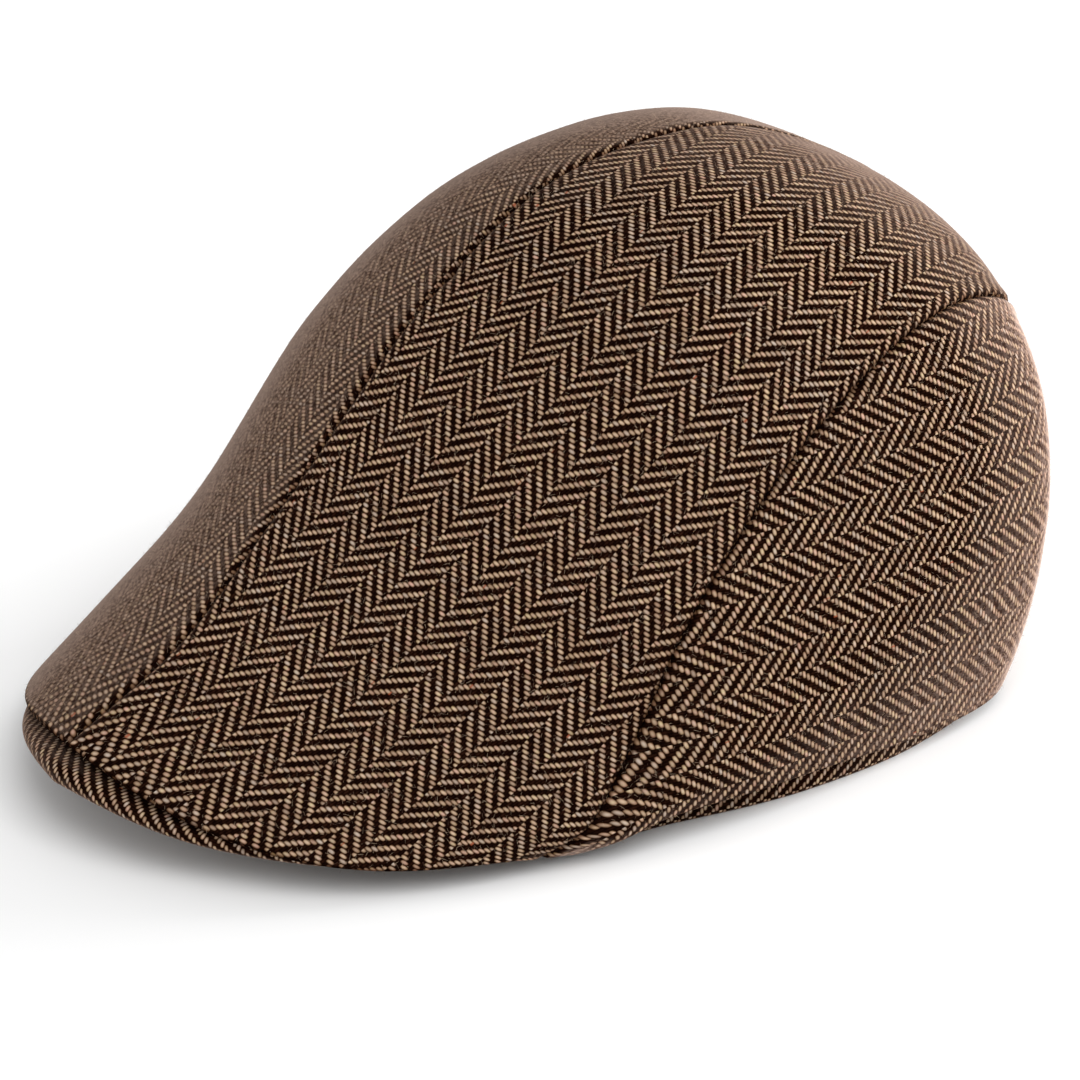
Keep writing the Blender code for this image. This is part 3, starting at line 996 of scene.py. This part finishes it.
def peak_section(share):
    """A line under the peak from its root, round the lip and back on top, and the way from lip to root."""
    at = share * PEAK_SPREAD
    point = shell_point(0.0, at)
    around = shell_point(0.0, at + 0.004) - shell_point(0.0, at - 0.004)
    back = shell_point(0.01, at) - point
    normal = unit(np.cross(around, back))
    onward = unit(np.cross(around, normal))
    radius = lip_value(0, share)
    centre = point - normal * (CLOTH + GAP + radius) + onward * lip_value(1, share)
    root = band_point(share * PEAK_TURN, PEAK_ROOT_GAP)
    root = root + np.array([0.0, 0.0, PEAK_LIFT + PEAK_THICK / 2.0])
    run = root - centre
    inward = unit(run)
    upward = unit(np.array([0.0, 0.0, 1.0]) - inward * inward[2])
    lower, nose, upper = [], [], []
    for k in range(PEAK_STEPS, 0, -1):
        along = k / PEAK_STEPS
        half = radius + (PEAK_THICK / 2.0 - radius) * along
        middle = centre + run * along + upward * PEAK_CAMBER * math.sin(math.pi * along)
        lower.append(middle - upward * half)
        upper.append(middle + upward * half)
    for k in range(NOSE_STEPS + 1):
        a = math.pi * k / NOSE_STEPS
        nose.append(centre - inward * math.sin(a) * radius - upward * math.cos(a) * radius)
    return lower + nose + upper[::-1], inward


def peak():
    """The peak: its faces woven along the cap, and its lip woven round."""
    points, plan_uv, lip_uv, tuck = [], [], [], []
    lip_length, tip = 0.0, None
    for s in range(PEAK_SECTIONS + 1):
        share = 2.0 * s / PEAK_SECTIONS - 1.0
        line, inward = peak_section(share)
        travel = np.concatenate([[0.0], np.cumsum(np.linalg.norm(np.diff(line, axis=0), axis=1))])
        # Painted shade: behind the lip's groove, under the crown's edge, the tuck map darkens the peak's
        # wool.
        groove = travel[PEAK_STEPS + NOSE_STEPS] + lip_value(1, share)
        tuck += np.clip((travel - groove) / GROOVE_WIDTH + 1.0, 0.0, 1.0).tolist()
        if tip is not None:
            lip_length += np.linalg.norm(line[NOSE_MIDDLE] - tip)
        tip = line[NOSE_MIDDLE]
        around_lip = (travel - travel[NOSE_MIDDLE]) / END + LIP_FROM
        for k, p in enumerate(line):
            flat = line[0] - inward * travel[k]
            points.append(p)
            plan_uv.append((flat[1] / END + 2.0, flat[0] / PICK))
            lip_uv.append((around_lip[k], lip_length / PICK))
    per = len(line)
    faces = ring_faces(PEAK_SECTIONS + 1, per, False)
    for base, flip in ((0, False), (PEAK_SECTIONS * per, True)):
        for k in range(per // 2 - 1):
            q = (base + k, base + per - 1 - k, base + per - 2 - k, base + k + 1)
            faces.append(q[::-1] if flip else q)
    points, faces = np.array(points), np.array(faces)
    probe = PEAK_SECTIONS // 2 * per + per // 2
    outward = points[faces[probe]].mean(0) - INSIDE_PEAK
    if face_normals(points, faces)[probe] @ outward < 0:
        faces = faces[:, ::-1]
    on_lip = (faces % per).min(1) >= PEAK_STEPS
    loop_uv = np.where(on_lip[:, None, None], np.array(lip_uv)[faces], np.array(plan_uv)[faces])
    piece = add_loop_mesh("peak_cloth", points, faces, loop_uv, (WOOL, LIP_WOOL), on_lip.astype(int), "peak")
    add_tuck(piece, np.array(tuck) ** 1.3 * 0.95)


headband()
peak()


# Floor and light
def plain_material(name, colour, roughness):
    material = bpy.data.materials.new(name)
    material.use_nodes = True
    shader = material.node_tree.nodes["Principled BSDF"]
    shader.inputs["Base Color"].default_value = (*colour, 1.0)
    shader.inputs["Roughness"].default_value = roughness
    shader.inputs["Specular IOR Level"].default_value = 0.1
    return material


def add_floor():
    mesh = bpy.data.meshes.new("floor")
    mesh.from_pydata([(-6, -6, 0), (6, -6, 0), (6, 6, 0), (-6, 6, 0)], [], [(0, 1, 2, 3)])
    mesh.materials.append(plain_material("floor", (0.90, 0.90, 0.90), 0.9))
    floor = bpy.data.objects.new("floor", mesh)
    bpy.context.scene.collection.objects.link(floor)


def add_area(name, at, towards, size, power):
    data = bpy.data.lights.new(name, "AREA")
    data.size = size
    data.energy = power
    light = bpy.data.objects.new(name, data)
    bpy.context.scene.collection.objects.link(light)
    light.location = at
    light.rotation_euler = (Vector(towards) - Vector(at)).to_track_quat("-Z", "Y").to_euler()


def add_world():
    world = bpy.data.worlds.new("studio")
    world.use_nodes = True
    sky = world.node_tree.nodes["Background"]
    sky.inputs["Color"].default_value = (1.0, 1.0, 1.0, 1.0)
    sky.inputs["Strength"].default_value = 0.64
    bpy.context.scene.world = world


add_floor()
add_world()
add_area("key", (1.7, -0.1, 2.5), (0.0, 0.0, 0.06), 2.4, 50.0)
add_area("side", (0.5, 2.65, 0.4), (0.0, 0.0, 0.06), 1.6, 145.0)
add_area("fill", (-0.9, -2.6, 0.8), (0.0, 0.0, 0.06), 2.0, 16.0)
bpy.context.scene.view_settings.view_transform = "Standard"
